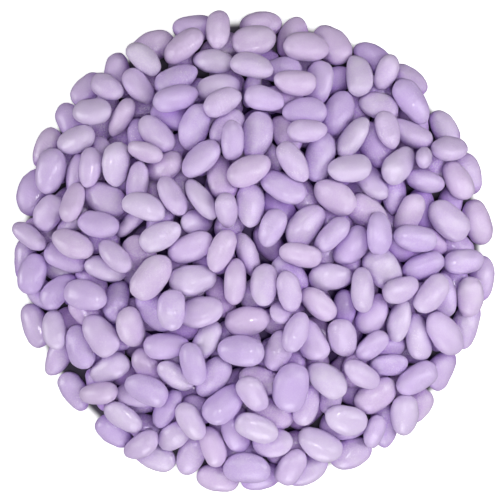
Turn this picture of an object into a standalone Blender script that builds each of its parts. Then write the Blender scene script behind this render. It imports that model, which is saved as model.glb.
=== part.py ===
# Sugared almonds poured out in one round heap on a flat surface.
# Units are metres, +Z is up. The origin lies on that surface, under the middle of the heap.

import math

import bmesh
import bpy
import numpy as np
from mathutils import Matrix

MM = 0.001

# The heap
SEED = 7
HEAP_RADIUS = 145 * MM        # from the middle to the outline
DOME_TOP = 35 * MM            # highest place for the middle of an almond, at the centre
DOME_DROP = 25 * MM           # how much lower that place is at the outline
DOME_POWER = 3.0              # 2 gives a round dome, more gives a flatter top
BED_RADIUS = 88 * MM          # low mound that stands for the almonds at the very bottom
BED_HEIGHT = 13 * MM
BOTTOM_INNER = 0.5            # the bottom layer ends at this share of the radius
OUTLINE_WAVES = ((3, 1.0, 0.7), (7, 0.8, 2.0), (12, 0.7, 4.0))    # waves round, height in mm, phase

# One almond, in its own frame: long along X, wide along Y, thick along Z
ALMOND_LENGTH = (26.7, 1.8, 22.0, 30.5)      # mean, spread, least and most, in mm
WIDTH_SHARE = (0.635, 0.045, 0.53, 0.74)     # of the length
THICK_SHARE = (0.465, 0.030, 0.40, 0.54)     # of the length
TAPER = (0.0, 0.15)           # how much slimmer the tip end is
TIP_TAPER = (0.0, 0.06)       # the same, close to the tip only
FULLNESS = (0.02, 0.22)       # how broad the shoulders are
FULL_FROM = 0.25              # square of the place along the almond where they begin
BEND_SPREAD = 0.03            # sideways bend, as a share of the length
BEND_LEVEL = 0.4              # keeps a bent almond centred
SWELLINGS = 3                 # low waves in the sugar shell
SWELL_PITCH = 1.5
SWELL_HEIGHT = (0.005, 0.022)

# How the almonds come down
ON_EDGE_SHARE = 0.16
ON_EDGE_ROLL = (0.9, 1.6)     # radians
ON_END_SHARE = 0.12
ON_END_PITCH = (0.5, 1.1)
PITCH_SPREAD = 0.18
ROLL_SPREAD = 0.28

# The solid
SIDES = 6                     # round the girth of an almond
RINGS = 4                     # bands from tip to tip
GIRTH_GROWTH = 1.04           # makes up for what flat sides cut off
FLOOR_GAP = 0.2 * MM          # under the outer almonds
SHOWING_AREA = 110            # square millimetres seen from above
OUTER_BAND = 32 * MM          # almonds this close to the outline show from the side
CORE_SIDES = 24
CORE_RINGS = 7
CORE_MARGIN = 10 * MM         # from the outline to the edge of the core
CORE_DEPTH = 3.5 * MM         # below the mean surface of the almonds
CORE_EDGE = 4 * MM            # height of the core's rim
CORE_REACH = 12 * MM          # radius over which that surface is averaged
SHORT_EDGE = 0.02 * MM        # shorter ones are closed up
SUGAR_COLOR = (0.53, 0.41, 0.70, 1)
SUGAR_ROUGHNESS = 0.45

# The search for a resting place
CELL = 1 * MM                 # of the grid that holds the height of the heap
GRID_HALF = 160 * MM
PRESS = 0.3 * MM              # how far two almonds may bed into each other
RIM_PULL = 0.12               # how strongly the bottom layer is drawn to the outline
OVERHANG_COST = 6.0           # for each millimetre past the outline
START_REACH = 0.97            # share of the radius within which an almond comes down
LYING = 1.05                  # most height of a lying almond's middle, in half widths
CONTACT_POINTS = 300
SURFACE_POINTS = 3200
TRIES = 300
KEPT = 8
WIGGLES = 24
PATIENCE = 30                 # misses in a row that end a layer
SLIDES = (6.0, 4.0, 2.6, 1.8, 1.2, 0.8, 0.5, 0.3)          # mm
SWINGS = (0.6, 0.45, 0.3, 0.2, 0.14, 0.1, 0.06, 0.04)      # radians
TILT_SHARE = 0.6              # of each swing, for tilting
EXACT_TO = 6                  # decimals of a metre that two places are compared by


def clipped_draw(rng, spread):
    mean, deviation, least, most = spread
    return float(np.clip(rng.normal(mean, deviation), least, most))


def sphere_points(count):
    # Points spread evenly over a unit sphere, along a spiral.
    index = np.arange(count) + 0.5
    polar = np.arccos(1 - 2 * index / count)
    turn = math.pi * (1 + math.sqrt(5)) * index
    return np.column_stack([np.cos(turn) * np.sin(polar), np.sin(turn) * np.sin(polar), np.cos(polar)])


def draw_almond(rng):
    # The traits that tell one almond from the next.
    length = clipped_draw(rng, ALMOND_LENGTH) * MM
    width = length * clipped_draw(rng, WIDTH_SHARE)
    thick = length * clipped_draw(rng, THICK_SHARE)
    return {
        "half": np.array([length, width, thick]) / 2,
        "taper": rng.uniform(*TAPER),
        "tip": rng.uniform(*TIP_TAPER),
        "full": rng.uniform(*FULLNESS),
        "bend": rng.normal(0.0, BEND_SPREAD) * length,
        "waves": rng.normal(0.0, SWELL_PITCH, (SWELLINGS, 3)),
        "phases": rng.uniform(0, 2 * math.pi, SWELLINGS),
        "swell": rng.uniform(*SWELL_HEIGHT, SWELLINGS),
    }


def almond_surface(unit, almond, inset=0.0):
    # Carries points of a unit sphere to the sugar shell: an egg with full shoulders, a slight
    # bend and low swellings.
    along = unit[:, 0]
    swell = 1 + (almond["swell"] * np.sin(unit @ almond["waves"].T + almond["phases"])).sum(axis=1)
    girth = 1 - almond["taper"] * along - almond["tip"] * along ** 3
    girth = girth * (1 + almond["full"] * (along ** 2 - FULL_FROM))
    shell = unit * (almond["half"] - inset) * swell[:, None]
    shell[:, 1:] *= girth[:, None]
    shell[:, 1] += almond["bend"] * (along ** 2 - BEND_LEVEL)
    return shell


def turn_matrices(poses):
    # Roll about X, then pitch about Y, then yaw about Z, for poses of (x, y, yaw, pitch, roll).
    yaw, pitch, roll = poses[..., 2], poses[..., 3], poses[..., 4]
    cy, sy = np.cos(yaw), np.sin(yaw)
    cp, sp = np.cos(pitch), np.sin(pitch)
    cr, sr = np.cos(roll), np.sin(roll)
    rows = [
        [cy * cp, cy * sp * sr - sy * cr, cy * sp * cr + sy * sr],
        [sy * cp, sy * sp * sr + cy * cr, sy * sp * cr - cy * sr],
        [-sp, cp * sr, cp * cr],
    ]
    return np.stack([np.stack(row, axis=-1) for row in rows], axis=-2)


def outline_radius(angle):
    # The outline is a circle with a slight waver.
    waver = sum(height * np.sin(count * angle + phase) for count, height, phase in OUTLINE_WAVES)
    return HEAP_RADIUS + waver * MM


class Heap:
    # The height of the heap over a square grid, and which almond is on top in each cell.

    def __init__(self):
        self.count = int(round(2 * GRID_HALF / CELL)) + 1
        axis = np.arange(self.count) * CELL - GRID_HALF
        x, y = np.meshgrid(axis, axis, indexing="ij")
        self.x, self.y = x.ravel(), y.ravel()
        radius = np.hypot(self.x, self.y)
        self.height = BED_HEIGHT * np.sqrt(np.clip(1 - (radius / BED_RADIUS) ** 2, 0, None)) + PRESS
        self.owner = np.full(self.height.shape, -1)
        self.places = []

    def cells(self, x, y):
        i = ((x + GRID_HALF) / CELL + 0.5).astype(np.int64)
        j = ((y + GRID_HALF) / CELL + 0.5).astype(np.int64)
        return np.clip(i * self.count + j, 0, self.height.size - 1)

    def rest(self, shell, poses):
        # How high each pose comes to rest, how far out it is and what its overhang costs.
        turned = shell @ np.swapaxes(turn_matrices(poses), 1, 2)
        x = turned[..., 0] + poses[:, 0, None]
        y = turned[..., 1] + poses[:, 1, None]
        level = (self.height[self.cells(x, y)] - turned[..., 2]).max(axis=1)
        radius = np.hypot(poses[:, 0], poses[:, 1])
        reach = np.sqrt((x * x + y * y).max(axis=1))
        over = reach - outline_radius(np.arctan2(poses[:, 1], poses[:, 0]))
        return level, radius, OVERHANG_COST * np.maximum(over, 0)

    def add(self, almond, pose, level):
        shell = almond_surface(sphere_points(SURFACE_POINTS), almond, PRESS)
        turned = shell @ turn_matrices(pose).T
        cells = self.cells(turned[:, 0] + pose[0], turned[:, 1] + pose[1])
        top = turned[:, 2] + level
        np.maximum.at(self.height, cells, top)
        self.owner[cells[top >= self.height[cells]]] = len(self.places)
        self.places.append((almond, pose, level))

    def mean_height(self, x, y):
        near = np.hypot(self.x - x, self.y - y) < CORE_REACH
        return float(self.height[near].mean())


def bottom_cost(level, radius, over):
    return np.round(level + RIM_PULL * (HEAP_RADIUS - radius) + over, EXACT_TO)


def dome_cost(level, radius, over):
    return np.round(level + DOME_DROP * (radius / HEAP_RADIUS) ** DOME_POWER + over, EXACT_TO)


def settle(heap, shell, poses, cost, rng):
    # Shakes the best poses a little and keeps what lies lower, with ever smaller swings.
    best = cost(*heap.rest(shell, poses))
    rows = np.arange(len(poses))
    for slide, swing in zip(SLIDES, SWINGS):
        size = np.array([slide * MM, slide * MM, swing, swing * TILT_SHARE, swing * TILT_SHARE])
        tried = poses[:, None, :] + rng.normal(0, 1, (len(poses), WIGGLES, 5)) * size
        costs = cost(*heap.rest(shell, tried.reshape(-1, 5))).reshape(len(poses), WIGGLES)
        pick = costs.argmin(axis=1)
        better = costs[rows, pick] < best
        poses = np.where(better[:, None], tried[rows, pick], poses)
        best = np.where(better, costs[rows, pick], best)
    lowest = int(best.argmin())
    level = heap.rest(shell, poses[lowest:lowest + 1])[0][0]
    return poses[lowest], level, best[lowest]


def start_poses(rng, least_radius):
    # Most almonds come down flat, some on edge and some on end.
    radius = np.sqrt(rng.uniform(least_radius ** 2, (START_REACH * HEAP_RADIUS) ** 2, TRIES))
    angle = rng.uniform(0, 2 * math.pi, TRIES)
    style = rng.random()
    roll, pitch = 0.0, 0.0
    if style < ON_EDGE_SHARE:
        roll = rng.choice([-1, 1]) * rng.uniform(*ON_EDGE_ROLL)
    elif style < ON_EDGE_SHARE + ON_END_SHARE:
        pitch = rng.choice([-1, 1]) * rng.uniform(*ON_END_PITCH)
    yaw = rng.uniform(0, 2 * math.pi, TRIES)
    pitches = pitch + rng.normal(0, PITCH_SPREAD, TRIES)
    rolls = roll + rng.normal(0, ROLL_SPREAD, TRIES)
    return np.column_stack([radius * np.cos(angle), radius * np.sin(angle), yaw, pitches, rolls])


def pour_heap():
    # First the bottom layer, from the outline inwards, and then the dome on top of it.
    rng = np.random.default_rng(SEED)
    contact = sphere_points(CONTACT_POINTS)
    heap = Heap()
    for cost, least_radius in ((bottom_cost, BOTTOM_INNER * HEAP_RADIUS), (dome_cost, 0.0)):
        misses = 0
        while misses < PATIENCE:
            almond = draw_almond(rng)
            shell = almond_surface(contact, almond, PRESS)
            poses = start_poses(rng, least_radius)
            costs = cost(*heap.rest(shell, poses))
            poses = poses[np.argsort(costs, kind="stable")[:KEPT]]
            pose, level, price = settle(heap, shell, poses, cost, rng)
            if cost is bottom_cost:
                far_out = np.hypot(pose[0], pose[1]) > least_radius
                fits = far_out and level < almond["half"][1] * LYING
            else:
                fits = price <= DOME_TOP
            misses = 0 if fits else misses + 1
            if fits:
                heap.add(almond, pose, level)
    return heap


def showing(heap):
    # The almonds that can be seen from above or from the side.
    seen = np.bincount(heap.owner[heap.owner >= 0], minlength=len(heap.places)) * (CELL / MM) ** 2
    chosen = []
    for area, place in zip(seen, heap.places):
        pose = place[1]
        outer = np.hypot(pose[0], pose[1]) > HEAP_RADIUS - OUTER_BAND and area > 0
        if area >= SHOWING_AREA or outer:
            chosen.append(place)
    return chosen


def make_sugar():
    material = bpy.data.materials.new("sugar_shell")
    material.use_nodes = True
    shader = material.node_tree.nodes["Principled BSDF"]
    shader.inputs["Base Color"].default_value = SUGAR_COLOR
    shader.inputs["Roughness"].default_value = SUGAR_ROUGHNESS
    shader.inputs["Metallic"].default_value = 0.0
    return material


def make_core(heap):
    # A low dome with a flat underside, just under the surface of the almonds. The upper half of a
    # sphere is spread out flat, ring by ring, and raised to its height.
    bm = bmesh.new()
    bmesh.ops.create_uvsphere(bm, u_segments=CORE_SIDES, v_segments=2 * CORE_RINGS, radius=1)
    half_band = math.sin(math.pi / 2 / CORE_RINGS) / 2
    lower = [v for v in bm.verts if v.co.z < -half_band]
    bmesh.ops.delete(bm, geom=lower, context="VERTS")
    for v in bm.verts:
        polar = math.acos(min(max(v.co.z, 0.0), 1.0))
        angle = math.atan2(v.co.y, v.co.x)
        radius = (HEAP_RADIUS - CORE_MARGIN) * polar / (math.pi / 2)
        v.co.x = radius * math.cos(angle)
        v.co.y = radius * math.sin(angle)
        v.co.z = max(heap.mean_height(v.co.x, v.co.y) - CORE_DEPTH, CORE_EDGE)
    wall = bmesh.ops.extrude_edge_only(bm, edges=[e for e in bm.edges if e.is_boundary])
    for item in wall["geom"]:
        if isinstance(item, bmesh.types.BMVert):
            item.co.z = 0.0
    bmesh.ops.holes_fill(bm, edges=[e for e in bm.edges if e.is_boundary], sides=0)
    bmesh.ops.recalc_face_normals(bm, faces=bm.faces)
    mesh = bpy.data.meshes.new("almond_heap")
    bm.to_mesh(mesh)
    bm.free()
    core = bpy.data.objects.new("almond_heap", mesh)
    bpy.context.scene.collection.objects.link(core)
    return core


def make_almond(place, collection):
    # A faceted almond with its tips on X, laid where it came to rest.
    almond, pose, level = place
    bm = bmesh.new()
    tips_on_x = Matrix.Rotation(math.pi / 2, 4, "Y")
    bmesh.ops.create_uvsphere(bm, u_segments=SIDES, v_segments=RINGS, radius=1, matrix=tips_on_x)
    shell = almond_surface(np.array([v.co[:] for v in bm.verts]), almond)
    shell[:, 1:] *= GIRTH_GROWTH
    for v, spot in zip(bm.verts, shell):
        v.co = spot
    mesh = bpy.data.meshes.new("almond")
    bm.to_mesh(mesh)
    bm.free()
    lowest = (shell @ turn_matrices(pose).T)[:, 2].min() + level
    piece = bpy.data.objects.new("almond", mesh)
    piece.location = (pose[0], pose[1], level + max(0.0, FLOOR_GAP - lowest))
    piece.rotation_euler = (pose[4], pose[3], pose[2])
    collection.objects.link(piece)


def fuse(core, almonds):
    # One union joins the almonds to the core, and the loose ones go.
    union = core.modifiers.new("almonds", "BOOLEAN")
    union.operation = "UNION"
    union.operand_type = "COLLECTION"
    union.collection = almonds
    union.solver = "EXACT"
    evaluated = core.evaluated_get(bpy.context.evaluated_depsgraph_get())
    fused = bpy.data.meshes.new_from_object(evaluated)
    core.modifiers.clear()
    core.data = fused
    for piece in list(almonds.objects):
        bpy.data.objects.remove(piece)
    bpy.data.collections.remove(almonds)


def connected(start):
    # All vertices that edges join to this one.
    found, waiting = {start}, [start]
    while waiting:
        for e in waiting.pop().link_edges:
            for v in e.verts:
                if v not in found:
                    found.add(v)
                    waiting.append(v)
    return found


def drop_fins(bm):
    # Two faces back to back on the same corners are a fin with no thickness, and both go.
    same_corners = {}
    for f in bm.faces:
        same_corners.setdefault(frozenset(f.verts), []).append(f)
    fins = [f for faces in same_corners.values() if len(faces) > 1 for f in faces]
    bmesh.ops.delete(bm, geom=fins, context="FACES")


def keep_largest_body(core):
    # Drops loose scraps and fills sealed hollows: only the largest closed skin stays.
    bm = bmesh.new()
    bm.from_mesh(core.data)
    unseen = set(bm.verts)
    skins = []
    while unseen:
        skins.append(connected(next(iter(unseen))))
        unseen -= skins[-1]
    skins.sort(key=len)
    for skin in skins[:-1]:
        bmesh.ops.delete(bm, geom=list(skin), context="VERTS")
    bmesh.ops.dissolve_degenerate(bm, dist=SHORT_EDGE, edges=bm.edges)
    bmesh.ops.triangulate(bm, faces=bm.faces)
    drop_fins(bm)
    bm.to_mesh(core.data)
    bm.free()


def build():
    for thing in list(bpy.data.objects):
        bpy.data.objects.remove(thing)
    heap = pour_heap()
    core = make_core(heap)
    almonds = bpy.data.collections.new("almonds")
    bpy.context.scene.collection.children.link(almonds)
    for place in showing(heap):
        make_almond(place, almonds)
    fuse(core, almonds)
    keep_largest_body(core)
    core.data.materials.clear()
    core.data.materials.append(make_sugar())


build()
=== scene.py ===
# Sugared almonds poured out in one round heap: every almond whole and smooth, at the place where
# the heap's rule lets it come to rest. Metres, +Z up, the heap lies on the level z = 0.
import math

import bmesh
import bpy
import numpy as np
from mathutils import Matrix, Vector


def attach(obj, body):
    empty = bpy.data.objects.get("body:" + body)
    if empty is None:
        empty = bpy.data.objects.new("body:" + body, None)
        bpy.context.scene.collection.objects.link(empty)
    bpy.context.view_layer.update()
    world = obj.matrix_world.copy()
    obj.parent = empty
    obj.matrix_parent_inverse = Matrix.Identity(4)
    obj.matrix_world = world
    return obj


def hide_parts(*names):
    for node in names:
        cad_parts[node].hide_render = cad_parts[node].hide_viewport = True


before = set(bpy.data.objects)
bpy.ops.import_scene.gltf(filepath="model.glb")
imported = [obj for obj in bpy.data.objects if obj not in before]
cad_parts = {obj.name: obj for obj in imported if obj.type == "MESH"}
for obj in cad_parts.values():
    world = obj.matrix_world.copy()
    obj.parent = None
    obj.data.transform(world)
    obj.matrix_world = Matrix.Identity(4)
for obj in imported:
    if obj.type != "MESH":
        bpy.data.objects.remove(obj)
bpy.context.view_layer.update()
mm = 0.001
print("frame loaded:", sorted(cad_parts))

heap = {
    "seed": 7,
    "radius": 145 * mm,        # from the middle to the outline
    "domeTop": 35 * mm,        # highest place for the middle of an almond, at the centre
    "domeDrop": 25 * mm,       # how much lower that place is at the outline
    "domePower": 3.0,          # 2 gives a round dome, more gives a flatter top
    "bedRadius": 88 * mm,      # low mound of the hidden almonds at the very bottom
    "bedHeight": 13 * mm,
    "bottomInner": 0.5,        # the bottom layer ends at this share of the radius
    "outlineWaves": ((3, 1.0, 0.7), (7, 0.8, 2.0), (12, 0.7, 4.0)),    # waves round, height in mm, phase
    "floorGap": 0.2 * mm,
}

# one almond in its own frame: long along X, wide along Y, thick along Z
almondTraits = {
    "length": (26.7, 1.8, 22.0, 30.5),       # mean, spread, least and most, in mm
    "widthShare": (0.635, 0.045, 0.53, 0.74),    # of the length
    "thickShare": (0.465, 0.030, 0.40, 0.54),
    "taper": (0.0, 0.15),      # how much slimmer the tip end is
    "tipTaper": (0.0, 0.06),   # the same, close to the tip only
    "fullness": (0.02, 0.22),  # how broad the shoulders are
    "fullFrom": 0.25,          # square of the place along the almond where they begin
    "bendSpread": 0.03,        # sideways bend, as a share of the length
    "bendLevel": 0.4,          # keeps a bent almond centred
    "swellings": 3,            # low waves in the sugar shell
    "swellPitch": 1.5,
    "swellHeight": (0.005, 0.022),
}

falling = {
    "onEdgeShare": 0.16,
    "onEdgeRoll": (0.9, 1.6),  # radians
    "onEndShare": 0.12,
    "onEndPitch": (0.5, 1.1),
    "pitchSpread": 0.18,
    "rollSpread": 0.28,
    "startReach": 0.97,        # share of the radius within which an almond comes down
    "lying": 1.05,             # most height of a lying almond's middle, in half widths
}

search = {
    "cell": 1 * mm,            # of the grid that holds the height of the heap
    "gridHalf": 160 * mm,
    "press": 0.3 * mm,         # how far two almonds may bed into each other
    "rimPull": 0.12,           # how strongly the bottom layer is drawn to the outline
    "overhangCost": 6.0,       # for each millimetre past the outline
    "contactPoints": 300,
    "surfacePoints": 3200,
    "tries": 300,
    "kept": 8,
    "wiggles": 24,
    "patience": 30,            # misses in a row that end a layer
    "slides": (6.0, 4.0, 2.6, 1.8, 1.2, 0.8, 0.5, 0.3),       # mm
    "swings": (0.6, 0.45, 0.3, 0.2, 0.14, 0.1, 0.06, 0.04),   # radians
    "tiltShare": 0.6,          # of each swing, for tilting
    "exactTo": 6,              # decimals of a metre that two places are compared by
}


def clippedDraw(rng, spread):
    mean, deviation, least, most = spread
    return float(np.clip(rng.normal(mean, deviation), least, most))


def spherePoints(count):
    # points spread evenly over a unit sphere, along a spiral
    index = np.arange(count) + 0.5
    polar = np.arccos(1 - 2 * index / count)
    turn = math.pi * (1 + math.sqrt(5)) * index
    return np.column_stack([np.cos(turn) * np.sin(polar), np.sin(turn) * np.sin(polar), np.cos(polar)])


def drawAlmond(rng):
    length = clippedDraw(rng, almondTraits["length"]) * mm
    width = length * clippedDraw(rng, almondTraits["widthShare"])
    thick = length * clippedDraw(rng, almondTraits["thickShare"])
    waves = almondTraits["swellings"]
    return {
        "half": np.array([length, width, thick]) / 2,
        "taper": rng.uniform(*almondTraits["taper"]),
        "tip": rng.uniform(*almondTraits["tipTaper"]),
        "full": rng.uniform(*almondTraits["fullness"]),
        "bend": rng.normal(0.0, almondTraits["bendSpread"]) * length,
        "waves": rng.normal(0.0, almondTraits["swellPitch"], (waves, 3)),
        "phases": rng.uniform(0, 2 * math.pi, waves),
        "swell": rng.uniform(*almondTraits["swellHeight"], waves),
    }


def almondSurface(unit, almond, inset=0.0):
    # carries points of a unit sphere to the sugar shell: an egg with full shoulders, a slight bend
    # and low swellings
    along = unit[:, 0]
    swell = 1 + (almond["swell"] * np.sin(unit @ almond["waves"].T + almond["phases"])).sum(axis=1)
    girth = 1 - almond["taper"] * along - almond["tip"] * along ** 3
    girth = girth * (1 + almond["full"] * (along ** 2 - almondTraits["fullFrom"]))
    shell = unit * (almond["half"] - inset) * swell[:, None]
    shell[:, 1:] *= girth[:, None]
    shell[:, 1] += almond["bend"] * (along ** 2 - almondTraits["bendLevel"])
    return shell


def turnMatrices(poses):
    # roll about X, then pitch about Y, then yaw about Z, for poses of (x, y, yaw, pitch, roll)
    yaw, pitch, roll = poses[..., 2], poses[..., 3], poses[..., 4]
    cy, sy = np.cos(yaw), np.sin(yaw)
    cp, sp = np.cos(pitch), np.sin(pitch)
    cr, sr = np.cos(roll), np.sin(roll)
    rows = [
        [cy * cp, cy * sp * sr - sy * cr, cy * sp * cr + sy * sr],
        [sy * cp, sy * sp * sr + cy * cr, sy * sp * cr - cy * sr],
        [-sp, cp * sr, cp * cr],
    ]
    return np.stack([np.stack(row, axis=-1) for row in rows], axis=-2)


def outlineRadius(angle):
    waver = sum(height * np.sin(count * angle + phase) for count, height, phase in heap["outlineWaves"])
    return heap["radius"] + waver * mm


class HeapMap:
    # the height of the heap over a square grid, and the almonds that lie in it

    def __init__(self):
        cell, half = search["cell"], search["gridHalf"]
        self.count = int(round(2 * half / cell)) + 1
        axis = np.arange(self.count) * cell - half
        x, y = np.meshgrid(axis, axis, indexing="ij")
        radius = np.hypot(x.ravel(), y.ravel())
        mound = np.sqrt(np.clip(1 - (radius / heap["bedRadius"]) ** 2, 0, None))
        self.height = heap["bedHeight"] * mound + search["press"]
        self.places = []

    def cells(self, x, y):
        i = ((x + search["gridHalf"]) / search["cell"] + 0.5).astype(np.int64)
        j = ((y + search["gridHalf"]) / search["cell"] + 0.5).astype(np.int64)
        return np.clip(i * self.count + j, 0, self.height.size - 1)

    def rest(self, shell, poses):
        # how high each pose comes to rest, how far out it is and what its overhang costs
        turned = shell @ np.swapaxes(turnMatrices(poses), 1, 2)
        x = turned[..., 0] + poses[:, 0, None]
        y = turned[..., 1] + poses[:, 1, None]
        level = (self.height[self.cells(x, y)] - turned[..., 2]).max(axis=1)
        radius = np.hypot(poses[:, 0], poses[:, 1])
        reach = np.sqrt((x * x + y * y).max(axis=1))
        over = reach - outlineRadius(np.arctan2(poses[:, 1], poses[:, 0]))
        return level, radius, search["overhangCost"] * np.maximum(over, 0)

    def add(self, almond, pose, level):
        shell = almondSurface(spherePoints(search["surfacePoints"]), almond, search["press"])
        turned = shell @ turnMatrices(pose).T
        cells = self.cells(turned[:, 0] + pose[0], turned[:, 1] + pose[1])
        np.maximum.at(self.height, cells, turned[:, 2] + level)
        self.places.append((almond, pose, level))


def bottomCost(level, radius, over):
    return np.round(level + search["rimPull"] * (heap["radius"] - radius) + over, search["exactTo"])


def domeCost(level, radius, over):
    drop = heap["domeDrop"] * (radius / heap["radius"]) ** heap["domePower"]
    return np.round(level + drop + over, search["exactTo"])


def settle(heapMap, shell, poses, cost, rng):
    # shakes the best poses a little and keeps what lies lower, with ever smaller swings
    best = cost(*heapMap.rest(shell, poses))
    rows = np.arange(len(poses))
    wiggles, tilt = search["wiggles"], search["tiltShare"]
    for slide, swing in zip(search["slides"], search["swings"]):
        size = np.array([slide * mm, slide * mm, swing, swing * tilt, swing * tilt])
        tried = poses[:, None, :] + rng.normal(0, 1, (len(poses), wiggles, 5)) * size
        costs = cost(*heapMap.rest(shell, tried.reshape(-1, 5))).reshape(len(poses), wiggles)
        pick = costs.argmin(axis=1)
        better = costs[rows, pick] < best
        poses = np.where(better[:, None], tried[rows, pick], poses)
        best = np.where(better, costs[rows, pick], best)
    lowest = int(best.argmin())
    level = heapMap.rest(shell, poses[lowest:lowest + 1])[0][0]
    return poses[lowest], level, best[lowest]


def startPoses(rng, leastRadius):
    # most almonds come down flat, some on edge and some on end
    tries = search["tries"]
    radius = np.sqrt(rng.uniform(leastRadius ** 2, (falling["startReach"] * heap["radius"]) ** 2, tries))
    angle = rng.uniform(0, 2 * math.pi, tries)
    style = rng.random()
    roll, pitch = 0.0, 0.0
    if style < falling["onEdgeShare"]:
        roll = rng.choice([-1, 1]) * rng.uniform(*falling["onEdgeRoll"])
    elif style < falling["onEdgeShare"] + falling["onEndShare"]:
        pitch = rng.choice([-1, 1]) * rng.uniform(*falling["onEndPitch"])
    yaw = rng.uniform(0, 2 * math.pi, tries)
    pitches = pitch + rng.normal(0, falling["pitchSpread"], tries)
    rolls = roll + rng.normal(0, falling["rollSpread"], tries)
    return np.column_stack([radius * np.cos(angle), radius * np.sin(angle), yaw, pitches, rolls])


def pourHeap():
    # first the bottom layer, from the outline inwards, and then the dome on top of it
    rng = np.random.default_rng(heap["seed"])
    contact = spherePoints(search["contactPoints"])
    heapMap = HeapMap()
    for cost, leastRadius in ((bottomCost, heap["bottomInner"] * heap["radius"]), (domeCost, 0.0)):
        misses = 0
        while misses < search["patience"]:
            almond = drawAlmond(rng)
            shell = almondSurface(contact, almond, search["press"])
            poses = startPoses(rng, leastRadius)
            costs = cost(*heapMap.rest(shell, poses))
            poses = poses[np.argsort(costs, kind="stable")[:search["kept"]]]
            pose, level, price = settle(heapMap, shell, poses, cost, rng)
            if cost is bottomCost:
                farOut = np.hypot(pose[0], pose[1]) > leastRadius
                fits = farOut and level < almond["half"][1] * falling["lying"]
            else:
                fits = price <= heap["domeTop"]
            misses = 0 if fits else misses + 1
            if fits:
                heapMap.add(almond, pose, level)
    return heapMap


# how the almonds are meshed, and the fine unevenness of the sugar
shell = {
    "cuts": 2,                 # of each edge of the cube that the cage starts from
    "levels": 2,
    "growth": 1.082,           # makes up for what subdividing takes off the cage
    "facetSize": 9 * mm,       # broad soft flats
    "facetDepth": 1.3 * mm,
    "facetSpare": 1 / 3,       # share of that depth kept free above the floor
    "dimpleSize": 4 * mm,      # small dents
    "dimpleDepth": 0.13 * mm,
    "looksSeed": 21,           # of the draws for the shade and the pattern of each almond
    "farOff": 10.0,            # keeps the patterns of two almonds apart, in metres
    # the heap's mean level, from which painted shade and painted light are measured
    "meanReach": 12 * mm,      # how far round a place the heap's mean level is taken
    "leastLevel": 1 * mm,      # the heap lies where it is higher than this
}

# shades of sugar: name, share of the almonds, and the colours of the sugar at its thickest, of the
# cloudy paler places and of the rubbed, powdery ones, which also give the painted light on the open tops
shades = [
    ("paleAlmonds", 0.13, (0.562, 0.450, 0.680), (0.582, 0.478, 0.688), (0.615, 0.538, 0.694)),
    ("lilacAlmonds", 0.32, (0.530, 0.404, 0.660), (0.552, 0.434, 0.670), (0.592, 0.500, 0.680)),
    ("rosyAlmonds", 0.20, (0.545, 0.412, 0.650), (0.565, 0.442, 0.662), (0.600, 0.504, 0.676)),
    ("violetAlmonds", 0.20, (0.508, 0.378, 0.660), (0.530, 0.408, 0.670), (0.574, 0.478, 0.680)),
    ("deepAlmonds", 0.13, (0.480, 0.350, 0.648), (0.504, 0.380, 0.660), (0.550, 0.452, 0.672)),
    ("dustyAlmonds", 0.02, (0.525, 0.430, 0.625), (0.548, 0.462, 0.636), (0.598, 0.535, 0.652)),
]


def makeCage():
    # a cube cut into squares and rounded to a unit sphere, with its squares evened out
    cage = bmesh.new()
    bmesh.ops.create_cube(cage, size=2)
    bmesh.ops.subdivide_edges(cage, edges=cage.edges, cuts=shell["cuts"], use_grid_fill=True)
    for v in cage.verts:
        v.co = Vector([math.tan(c * math.pi / 4) for c in v.co]).normalized()
    mesh = bpy.data.meshes.new("cage")
    cage.to_mesh(mesh)
    cage.free()
    return mesh


def layAlmond(unit, place):
    # the cage's points as an almond: in its own frame, and where it lies in the heap. They are only
    # stretched and turned, so the cage's faces keep pointing outwards.
    almond, pose, level = place
    own = almondSurface(unit, almond) * shell["growth"]
    turned = own @ turnMatrices(pose).T
    lowest = (almondSurface(spherePoints(search["contactPoints"]), almond) @ turnMatrices(pose).T)[:, 2].min()
    spare = heap["floorGap"] + shell["facetDepth"] * shell["facetSpare"]
    lift = max(0.0, spare - lowest - level)
    return own, turned + np.array([pose[0], pose[1], level + lift])


def meanLevels(heapMap):
    # the level of the heap's top, evened out over the almonds and the gaps between them; painted shade and
    # painted light are measured from it
    reach = round(shell["meanReach"] / search["cell"])
    kernel = np.hanning(2 * reach + 3)
    levels = heapMap.height.reshape(heapMap.count, heapMap.count)
    covered = (levels > shell["leastLevel"]).astype(float)
    sums = [levels * covered, covered]
    for axis in (0, 1):
        sums = [np.apply_along_axis(np.convolve, axis, part, kernel, mode="same") for part in sums]
    return (sums[0] / np.maximum(sums[1], 1)).ravel()


def addRelief(piece, name, size, depth):
    clouds = bpy.data.textures.new(name, "CLOUDS")
    clouds.noise_scale = size
    relief = piece.modifiers.new(name, "DISPLACE")
    relief.texture = clouds
    relief.texture_coords = "LOCAL"
    relief.strength = depth
    relief.mid_level = 0.5


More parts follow.
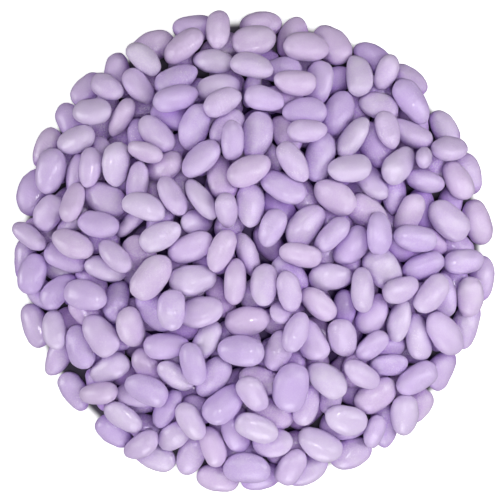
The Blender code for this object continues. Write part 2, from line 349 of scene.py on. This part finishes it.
def makeAlmonds(name, places, heapMap, means, material, rng):
    # one piece of many almonds, with what the material needs to tell them apart, and how high above
    # the heap's mean level each point lies, in millimetres, from which the material paints shade and light
    cage = makeCage()
    unit = np.array([v.co[:] for v in cage.vertices])
    bm = bmesh.new()
    owns, randoms, lies = [], [], []
    for place in places:
        first = len(bm.verts)
        bm.from_mesh(cage)
        bm.verts.ensure_lookup_table()
        own, laid = layAlmond(unit, place)
        for v, spot in zip(bm.verts[first:], laid):
            v.co = spot
        owns.append(own + rng.uniform(-1, 1, 3) * shell["farOff"])
        randoms.append(np.tile(rng.random(3), (len(unit), 1)))
        # painted shade and painted light: how high each point lies above the heap's mean level, for the
        # material
        lies.append((laid[:, 2] - means[heapMap.cells(laid[:, 0], laid[:, 1])]) / mm)
    mesh = bpy.data.meshes.new(name)
    bm.to_mesh(mesh)
    bm.free()
    bpy.data.meshes.remove(cage)
    ownPlace = mesh.attributes.new("ownPlace", "FLOAT_VECTOR", "POINT")
    ownPlace.data.foreach_set("vector", np.concatenate(owns).astype(np.float32).ravel())
    luck = mesh.attributes.new("luck", "FLOAT_VECTOR", "POINT")
    luck.data.foreach_set("vector", np.concatenate(randoms).astype(np.float32).ravel())
    lie = mesh.attributes.new("lie", "FLOAT", "POINT")
    lie.data.foreach_set("value", np.concatenate(lies).astype(np.float32))
    mesh.materials.append(material)
    mesh.shade_smooth()
    piece = bpy.data.objects.new(name, mesh)
    bpy.context.scene.collection.objects.link(piece)
    rounding = piece.modifiers.new("rounding", "SUBSURF")
    rounding.levels = rounding.render_levels = shell["levels"]
    addRelief(piece, name + "Facets", shell["facetSize"], shell["facetDepth"])
    addRelief(piece, name + "Dimples", shell["dimpleSize"], shell["dimpleDepth"])
    return piece


def addNode(tree, kind, values=None, **settings):
    node = tree.nodes.new("ShaderNode" + kind)
    for key, value in settings.items():
        setattr(node, key, value)
    for key, value in (values or {}).items():
        node.inputs[key].default_value = value
    return node


def mixColors(tree, share, first, second):
    # sockets 0, 6 and 7 of a Mix node are its factor and its two colours
    node = addNode(tree, "Mix", data_type="RGBA")
    tree.links.new(share, node.inputs[0])
    tree.links.new(first, node.inputs[6])
    tree.links.new(second, node.inputs[7])
    return node.outputs[2]


def spread(tree, value, low, high, least=0.0, most=1.0):
    # carries low to high of a value smoothly to least to most
    node = addNode(tree, "MapRange", {1: low, 2: high, 3: least, 4: most}, interpolation_type="SMOOTHSTEP")
    tree.links.new(value, node.inputs[0])
    return node.outputs[0]


def math2(tree, operation, first, second):
    node = addNode(tree, "Math", operation=operation)
    for socket, value in zip(node.inputs, (first, second)):
        if isinstance(value, (int, float)):
            socket.default_value = value
        else:
            tree.links.new(value, socket)
    return node.outputs[0]


def noise(tree, place, scale, detail=2.0, roughness=0.5):
    node = addNode(tree, "TexNoise", {"Scale": scale, "Detail": detail, "Roughness": roughness})
    tree.links.new(place, node.inputs["Vector"])
    return node.outputs["Fac"]


# the pattern of the sugar: scale and detail of a noise, then where it begins and is full, and how
# much of it there is on the almonds with the least and the most of it
sugar = {
    "cloudy": (130, 3.0, 0.36, 0.66, 0.35, 1.0),
    "rubbed": (75, 4.0, 0.50, 0.72, 0.05, 0.9),
    "rubbedLuck": (0.3, 1.0),        # the luckier almonds have more rubbed places
    "powder": (1000, 1.5, 0.42, 0.66, 0.25, 0.65),
    "specks": 0.55,                  # how far they cover the sugar
    "speckClusters": (110, 2.0, 0.46, 0.66),
    "speckLuck": (0.40, 1.0),        # the luckier almonds have specks
    "speckCells": 760.0,
    "speckSize": (0.42, 0.18),
    "speckColor": (0.72, 0.65, 0.77),
    "pitCells": 230.0,
    "pitSize": (0.24, 0.08),
    "pitClusters": (60, 1.0, 0.52, 0.62),
    "ridges": {"Scale": 120.0, "Distortion": 7.0, "Detail": 1.0, "Detail Scale": 1.2},
    "ridgePlaces": (48, 1.0, 0.50, 0.66),
    "paintedShadeTint": (0.77, 0.605, 0.935),    # painted shade: the sugar darker and more violet deep in the gaps
    "paintedShadeFrom": (1.0, -7.0),         # millimetres above the heap's mean level
    # painted light: the open tops are paler, mixed towards the rubbed colour
    "paintedLightFrom": (1.0, 6.0),
    "paintedLightShare": 0.38,
    "grain": (1500, 2.0, 0.075),     # scale and detail of a noise, and its height in millimetres
    "uneven": (330, 3.0, 0.115),
    "ridgeHeight": 0.060,            # also in millimetres
    "speckHeight": 0.035,
    "pitDepth": 0.09,
    "roughness": (240, 3.0, 0.38, 0.52),     # scale and detail of a noise, least and most
    "roughnessRubbed": 0.10,         # more on the rubbed places
    "specular": 0.4,
    "gloss": (120, 2.0, 0.42, 0.60, 0.20, 0.56),     # weight of the clear coat
    "coatRoughness": 0.16,
}


def patches(tree, place, values):
    scale, detail, low, high = values[:4]
    return spread(tree, noise(tree, place, scale, detail), low, high)


def makeSugarGroup():
    # the sugar shell's pattern: cloudy mottling, rubbed places, fine specks, pits and a fine grain, with
    # painted shade in the gaps and painted light on the tops
    tree = bpy.data.node_groups.new("sugarPattern", "ShaderNodeTree")
    inputs = {
        "Place": "Vector", "Luck": "Vector", "Lie": "Float", "Sugar": "Color", "Cloudy": "Color",
        "RubbedAndLit": "Color", "PaintedShade": "Color", "Specks": "Float"}
    outputs = {"Color": "Color", "Roughness": "Float", "Gloss": "Float", "Height": "Float"}
    for way, sockets in (("INPUT", inputs), ("OUTPUT", outputs)):
        for name, kind in sockets.items():
            tree.interface.new_socket(name, in_out=way, socket_type="NodeSocket" + kind)
    start = tree.nodes.new("NodeGroupInput")
    end = tree.nodes.new("NodeGroupOutput")
    place, lie = start.outputs["Place"], start.outputs["Lie"]
    luck = addNode(tree, "SeparateXYZ")
    tree.links.new(start.outputs["Luck"], luck.inputs[0])

    # the cloudy places, more of them on some almonds than on others
    cloudy = patches(tree, place, sugar["cloudy"])
    cloudy = math2(tree, "MULTIPLY", cloudy, spread(tree, luck.outputs[0], 0, 1, *sugar["cloudy"][4:]))
    color = mixColors(tree, cloudy, start.outputs["Sugar"], start.outputs["Cloudy"])

    # painted shade: deeper colour down in the gaps; painted light: paler tops, where the almonds lie highest
    color = mixColors(tree, spread(tree, lie, *sugar["paintedShadeFrom"]), color, start.outputs["PaintedShade"])
    paintedTopLight = spread(tree, lie, *sugar["paintedLightFrom"], 0.0, sugar["paintedLightShare"])
    color = mixColors(tree, paintedTopLight, color, start.outputs["RubbedAndLit"])

    # rubbed, powdery places, and a fine powdery grain all over
    rubbed = patches(tree, place, sugar["rubbed"])
    rubbedLuck = spread(tree, luck.outputs[1], *sugar["rubbedLuck"], *sugar["rubbed"][4:])
    rubbed = math2(tree, "MULTIPLY", rubbed, rubbedLuck)
    color = mixColors(tree, rubbed, color, start.outputs["RubbedAndLit"])
    powder = patches(tree, place, sugar["powder"])
    powder = math2(tree, "MULTIPLY", powder, spread(tree, luck.outputs[1], 0, 1, *sugar["powder"][4:]))
    color = mixColors(tree, powder, color, start.outputs["RubbedAndLit"])

    # fine whitish specks, in clusters
    cells = addNode(tree, "TexVoronoi", {"Scale": sugar["speckCells"], "Randomness": 1.0})
    tree.links.new(place, cells.inputs["Vector"])
    specks = spread(tree, cells.outputs["Distance"], *sugar["speckSize"])
    specks = math2(tree, "MULTIPLY", specks, patches(tree, place, sugar["speckClusters"]))
    specks = math2(tree, "MULTIPLY", specks, start.outputs["Specks"])
    specks = math2(tree, "MULTIPLY", specks, spread(tree, luck.outputs[2], *sugar["speckLuck"]))
    white = addNode(tree, "RGB")
    white.outputs[0].default_value = (*sugar["speckColor"], 1)
    color = mixColors(tree, specks, color, white.outputs[0])

    # a few pits, and low ridges where the syrup ran
    holes = addNode(tree, "TexVoronoi", {"Scale": sugar["pitCells"], "Randomness": 1.0})
    tree.links.new(place, holes.inputs["Vector"])
    pits = spread(tree, holes.outputs["Distance"], *sugar["pitSize"])
    pits = math2(tree, "MULTIPLY", pits, patches(tree, place, sugar["pitClusters"]))
    ridges = addNode(tree, "TexWave", sugar["ridges"])
    tree.links.new(place, ridges.inputs["Vector"])
    ridgeLines = math2(tree, "MULTIPLY", ridges.outputs["Fac"], patches(tree, place, sugar["ridgePlaces"]))

    # the height in millimetres
    height = math2(tree, "MULTIPLY", noise(tree, place, *sugar["grain"][:2]), sugar["grain"][2])
    uneven = noise(tree, place, *sugar["uneven"][:2])
    for sign, what, depth in (
            ("ADD", uneven, sugar["uneven"][2]), ("ADD", ridgeLines, sugar["ridgeHeight"]),
            ("ADD", specks, sugar["speckHeight"]), ("SUBTRACT", pits, sugar["pitDepth"])):
        height = math2(tree, sign, height, math2(tree, "MULTIPLY", what, depth))

    rough = spread(tree, noise(tree, place, *sugar["roughness"][:2]), 0, 1, *sugar["roughness"][2:])
    rough = math2(tree, "ADD", rough, math2(tree, "MULTIPLY", rubbed, sugar["roughnessRubbed"]))
    gloss = spread(tree, patches(tree, place, sugar["gloss"]), 0, 1, *sugar["gloss"][4:])

    for name, result in (("Color", color), ("Roughness", rough), ("Gloss", gloss), ("Height", height)):
        tree.links.new(result, end.inputs[name])
    return tree


def makeSugar(name, group, sugarColor, cloudyColor, rubbedAndLitColor):
    material = bpy.data.materials.new(name)
    material.use_nodes = True
    tree = material.node_tree
    shader = tree.nodes["Principled BSDF"]
    shader.inputs["Metallic"].default_value = 0.0
    shader.inputs["Specular IOR Level"].default_value = sugar["specular"]
    shader.inputs["Coat Roughness"].default_value = sugar["coatRoughness"]
    pattern = addNode(tree, "Group")
    pattern.node_tree = group
    # painted shade: the sugar colour, darker and more violet, for the gaps
    paintedShadeColor = [part * tint for part, tint in zip(sugarColor, sugar["paintedShadeTint"])]
    colors = {"Sugar": sugarColor, "Cloudy": cloudyColor, "RubbedAndLit": rubbedAndLitColor, "PaintedShade": paintedShadeColor}
    for socket, color in colors.items():
        pattern.inputs[socket].default_value = (*color, 1)
    pattern.inputs["Specks"].default_value = sugar["specks"]
    sources = {"Place": ("ownPlace", "Vector"), "Luck": ("luck", "Vector"), "Lie": ("lie", "Fac")}
    for socket, (attribute, output) in sources.items():
        source = addNode(tree, "Attribute", attribute_name=attribute)
        tree.links.new(source.outputs[output], pattern.inputs[socket])
    bump = addNode(tree, "Bump", {"Strength": 1.0, "Distance": mm})
    tree.links.new(pattern.outputs["Color"], shader.inputs["Base Color"])
    tree.links.new(pattern.outputs["Roughness"], shader.inputs["Roughness"])
    tree.links.new(pattern.outputs["Gloss"], shader.inputs["Coat Weight"])
    tree.links.new(pattern.outputs["Height"], bump.inputs["Height"])
    tree.links.new(bump.outputs["Normal"], shader.inputs["Normal"])
    return material


heapMap = pourHeap()
places = heapMap.places
means = meanLevels(heapMap)
print("almonds laid:", len(places))

looks = np.random.default_rng(shell["looksSeed"])
order = looks.permutation(len(places))
sugarGroup = makeSugarGroup()
first = 0
share = 0.0
for name, part, sugarColor, cloudyColor, rubbedAndLitColor in shades:
    share += part
    last = round(share * len(places))
    chosen = [places[i] for i in order[first:last]]
    material = makeSugar(name + "Sugar", sugarGroup, sugarColor, cloudyColor, rubbedAndLitColor)
    piece = makeAlmonds(name, chosen, heapMap, means, material, looks)
    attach(piece, "root")
    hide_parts("almond_heap")
    print(name, len(chosen))
    first = last

# the core, coloured dark as painted shade where it shows in the gaps
bed = {
    # painted shade: the core is dark violet, as the hidden almonds would look deep in shade
    "color": (0.12, 0.06, 0.22),
    "roughness": 0.6,
    "sides": 48,
    "rings": 24,
    "cutLevel": 0.05,          # of its height, where the flat underside lies
}


def makeBed():
    bm = bmesh.new()
    bmesh.ops.create_uvsphere(bm, u_segments=bed["sides"], v_segments=bed["rings"], radius=1)
    everything = bm.verts[:] + bm.edges[:] + bm.faces[:]
    cut = bmesh.ops.bisect_plane(
        bm, geom=everything, plane_co=(0, 0, bed["cutLevel"]), plane_no=(0, 0, -1), clear_outer=True)
    rim = [e for e in cut["geom_cut"] if isinstance(e, bmesh.types.BMEdge)]
    bmesh.ops.holes_fill(bm, edges=rim, sides=0)
    bmesh.ops.scale(bm, verts=bm.verts, vec=(heap["bedRadius"], heap["bedRadius"], heap["bedHeight"]))
    bmesh.ops.recalc_face_normals(bm, faces=bm.faces)
    mesh = bpy.data.meshes.new("bed")
    bm.to_mesh(mesh)
    bm.free()
    mesh.shade_smooth()
    material = bpy.data.materials.new("bedPaintedShade")
    material.use_nodes = True
    shader = material.node_tree.nodes["Principled BSDF"]
    shader.inputs["Base Color"].default_value = (*bed["color"], 1)
    shader.inputs["Roughness"].default_value = bed["roughness"]
    mesh.materials.append(material)
    piece = bpy.data.objects.new("bed", mesh)
    bpy.context.scene.collection.objects.link(piece)
    return piece


bedPiece = makeBed()
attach(bedPiece, "root")
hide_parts("almond_heap")
print("core made")

# floor, light and camera
studio = {
    "floorSize": 6.0,
    "floorColor": (0.95, 0.95, 0.95),      # as it is seen round the heap
    "floorRoughness": 0.9,
    "floorSpecular": 0.2,
    "floorGlow": (0.2, 0.8, 0.5, 1.0),     # of the floor that is seen: from and to a distance, least, most
    "floorShade": (0.105, 0.090, 0.125),   # painted shadow: the dark floor seen under the heap between the almonds; it also lights them, everywhere
    "shadeEdge": (136 * mm, 141 * mm),     # where the painted shadow under the heap fades out
    "skyColor": (1.0, 1.0, 1.0),           # only seen, as it gives no light
    "cameraHeight": 0.55,
    "cameraSide": -1.2 * mm,
    "sensor": 36.0,                        # of the camera, in millimetres
    "pictureHalf": 250,                    # pixels from the middle of the picture to its edge
    "outlinePixels": 241,                  # pixels from the middle of the heap to its outline
    "outlineLevel": 8 * mm,                # where the outline almonds are widest
}
lamps = [
    # name, direction in degrees, distance, height, width and height of the box, power
    ("rightBox", 0, 0.90, 0.45, 0.50, 0.50, 2.9),
    ("rightHigh", 0, 0.36, 0.42, 0.25, 0.25, 1.06),
    ("backHigh", 90, 0.36, 0.42, 0.25, 0.25, 0.57),
    ("leftBox", 180, 0.90, 0.45, 0.50, 0.50, 5.0),
    ("frontBox", 270, 0.90, 0.45, 0.50, 0.50, 4.1),
    ("frontStrip", 270, 0.30, 0.13, 0.20, 0.20, 0.10),
    ("topBox", 0, 0.0, 1.10, 0.70, 0.70, 0.30),
    ("smallLamp", 320, 0.12, 0.70, 0.07, 0.07, 0.92),
    ("farLamp", 215, 0.22, 0.70, 0.06, 0.06, 0.42),
]


def aim(thing, target):
    thing.rotation_euler = (Vector(target) - thing.location).to_track_quat("-Z", "Y").to_euler()


def makeFloor():
    bm = bmesh.new()
    bmesh.ops.create_grid(bm, x_segments=1, y_segments=1, size=studio["floorSize"] / 2)
    mesh = bpy.data.meshes.new("floor")
    bm.to_mesh(mesh)
    bm.free()
    material = bpy.data.materials.new("floorPaper")
    material.use_nodes = True
    shader = material.node_tree.nodes["Principled BSDF"]
    shader.inputs["Roughness"].default_value = studio["floorRoughness"]
    shader.inputs["Specular IOR Level"].default_value = studio["floorSpecular"]
    tree = material.node_tree
    place = addNode(tree, "TexCoord")
    away = addNode(tree, "VectorMath", operation="LENGTH")
    path = addNode(tree, "LightPath")
    paper = addNode(tree, "Mix", data_type="RGBA")
    paper.inputs[6].default_value = (*studio["floorShade"], 1)
    paper.inputs[7].default_value = (*studio["floorColor"], 1)
    tree.links.new(place.outputs["Object"], away.inputs[0])
    # painted shadow: the camera sees the floor dark under the heap, fading to white past shadeEdge; all other
    # rays see the dark colour everywhere
    clear = spread(tree, away.outputs["Value"], *studio["shadeEdge"])
    seen = math2(tree, "MULTIPLY", clear, path.outputs["Is Camera Ray"])
    tree.links.new(seen, paper.inputs[0])
    tree.links.new(paper.outputs[2], shader.inputs["Base Color"])
    glow = math2(tree, "MULTIPLY", seen, spread(tree, away.outputs["Value"], *studio["floorGlow"]))
    tree.links.new(glow, shader.inputs["Emission Color"])
    shader.inputs["Emission Strength"].default_value = 1.0
    mesh.materials.append(material)
    floor = bpy.data.objects.new("floor", mesh)
    bpy.context.scene.collection.objects.link(floor)


def makeLight():
    world = bpy.data.worlds.new("studioSky")
    world.use_nodes = True
    sky = world.node_tree.nodes["Background"]
    sky.inputs["Color"].default_value = (*studio["skyColor"], 1)
    path = addNode(world.node_tree, "LightPath")
    world.node_tree.links.new(path.outputs["Is Camera Ray"], sky.inputs["Strength"])
    bpy.context.scene.world = world
    for name, direction, distance, height, wide, tall, power in lamps:
        light = bpy.data.lights.new(name, "AREA")
        light.shape = "RECTANGLE"
        light.size = wide
        light.size_y = tall
        light.energy = power
        lamp = bpy.data.objects.new(name, light)
        angle = math.radians(direction)
        lamp.location = (distance * math.cos(angle), distance * math.sin(angle), height)
        lamp.visible_camera = False
        bpy.context.scene.collection.objects.link(lamp)
        aim(lamp, (0, 0, 0))


def makeCamera():
    data = bpy.data.cameras.new("camera")
    data.sensor_width = studio["sensor"]
    shownHalf = studio["pictureHalf"] / studio["outlinePixels"] * heap["radius"]
    data.lens = studio["sensor"] / 2 * (studio["cameraHeight"] - studio["outlineLevel"]) / shownHalf
    camera = bpy.data.objects.new("camera", data)
    camera.location = (studio["cameraSide"], 0, studio["cameraHeight"])
    bpy.context.scene.collection.objects.link(camera)
    bpy.context.scene.camera = camera
    bpy.context.scene.view_settings.view_transform = "Standard"


makeFloor()
makeLight()
makeCamera()
print("studio ready, lamps:", len(lamps))
